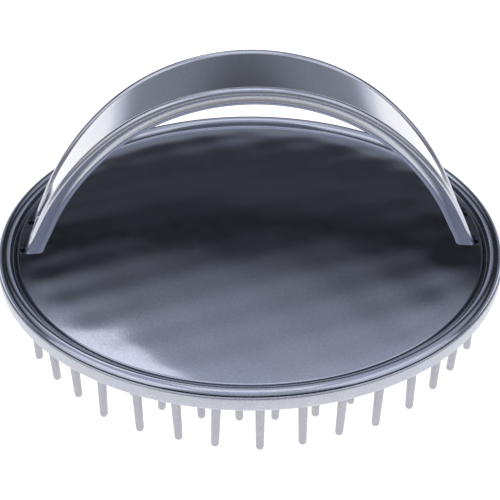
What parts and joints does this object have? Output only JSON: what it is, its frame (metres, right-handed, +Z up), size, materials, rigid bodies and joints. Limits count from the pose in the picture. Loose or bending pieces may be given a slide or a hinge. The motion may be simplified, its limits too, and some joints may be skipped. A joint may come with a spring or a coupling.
{
  "type": "scalp massager brush",
  "caption": "Round hand-held scalp massager brush: domed disc with a beaded rim, concentric rings of slim rounded bristles beneath and an arched strap handle above.",
  "frame": {"origin": "on the surface that the bristle tips stand on, under the middle of the disc", "axes": "+Z up through the middle of the disc and the top of the handle; +X along the handle, from foot to foot; +Y across it"},
  "size_m": [0.09, 0.09, 0.0448],
  "materials": {
    "cover_plastic": "glossy, cool metal-flake grey",
    "handle_plastic": "glossy, cool metal-flake grey",
    "base_plastic": "satin-gloss, metal-flake silver grey",
    "bristle_plastic": "satin-gloss, metal-flake silver grey"
  },
  "bodies": {
    "root": {"top_cover": "cover_plastic", "handle_band": "handle_plastic", "base_plate": "base_plastic", "bristle_centre": "bristle_plastic", "bristle_ring_1": "bristle_plastic", "bristle_ring_2": "bristle_plastic", "bristle_ring_3": "bristle_plastic", "bristle_ring_4": "bristle_plastic", "bristle_ring_5": "bristle_plastic", "bristle_ring_6": "bristle_plastic", "bristle_ring_7": "bristle_plastic"}
  },
  "joints": []
}
